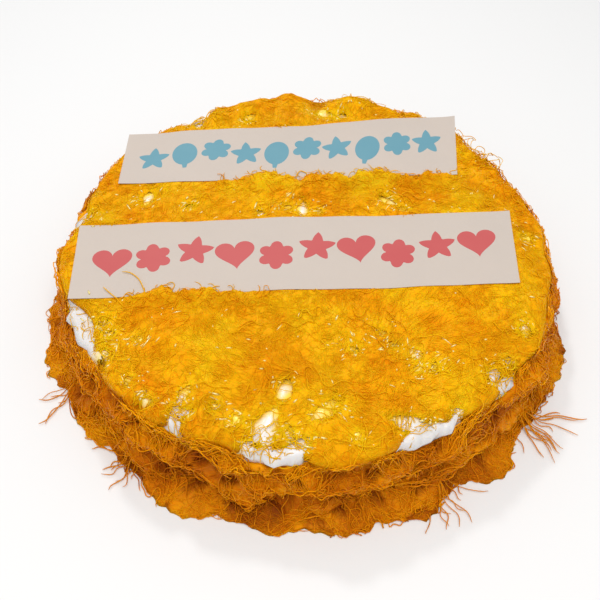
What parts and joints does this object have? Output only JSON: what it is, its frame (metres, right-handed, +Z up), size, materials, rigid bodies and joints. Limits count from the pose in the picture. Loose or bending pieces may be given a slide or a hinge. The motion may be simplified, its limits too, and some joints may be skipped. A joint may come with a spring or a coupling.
{
  "type": "birthday cake",
  "caption": "Flat round cream-coated birthday cake covered with egg threads, combed flat on top and shaggy round the side, with two cut paper banners across the top.",
  "frame": {"origin": "on the base plane, below the middle of the whole cake's bounding box", "axes": "+Z up; +X along the banners, to the right of somebody who reads them; +Y away from the reader"},
  "size_m": [0.3226, 0.3272, 0.056],
  "materials": {
    "cream": "soft glossy whipped cream",
    "top_threads": "moist glossy egg threads, lemon to orange yellow",
    "side_threads": "moist glossy egg threads, amber yellow",
    "paper": "plain white printing paper with pale pink-grey shade"
  },
  "bodies": {
    "root": {"cream_cake": "cream", "top_threads": "top_threads", "side_threads": "side_threads", "rear_banner": "paper", "front_banner": "paper"}
  },
  "joints": []
}
